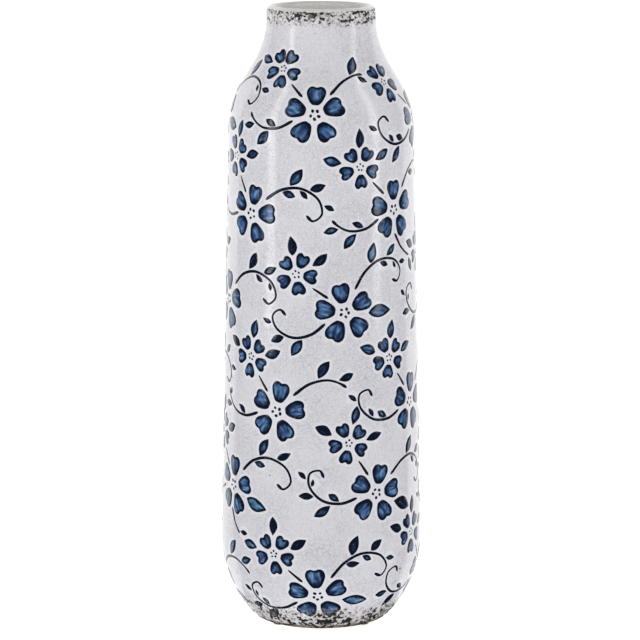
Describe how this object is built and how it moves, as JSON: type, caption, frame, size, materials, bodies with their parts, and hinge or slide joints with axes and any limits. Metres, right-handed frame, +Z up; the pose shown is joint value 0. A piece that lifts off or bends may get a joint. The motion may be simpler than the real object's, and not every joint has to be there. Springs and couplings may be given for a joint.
{
  "type": "glazed pottery vase",
  "caption": "Tall glazed earthenware vase with a slightly tapering body, rounded shoulder, short narrow neck and blue flower sprays on a pale crackled glaze.",
  "frame": {"origin": "middle of the base, on the surface that the vase stands on, under the felt pads", "axes": "+Z up along the vase's axis, towards the mouth; the side shown in the source picture faces -Y"},
  "size_m": [0.153, 0.153, 0.47],
  "materials": {
    "fired_clay": "matt, unglazed",
    "outer_glaze": "gloss",
    "inner_glaze": "gloss",
    "felt": "matt felt"
  },
  "bodies": {
    "root": {"clay_body": "fired_clay", "outer_glaze": "outer_glaze", "inner_glaze": "inner_glaze", "felt_pad_1": "felt", "felt_pad_2": "felt", "felt_pad_3": "felt", "felt_pad_4": "felt"}
  },
  "joints": []
}
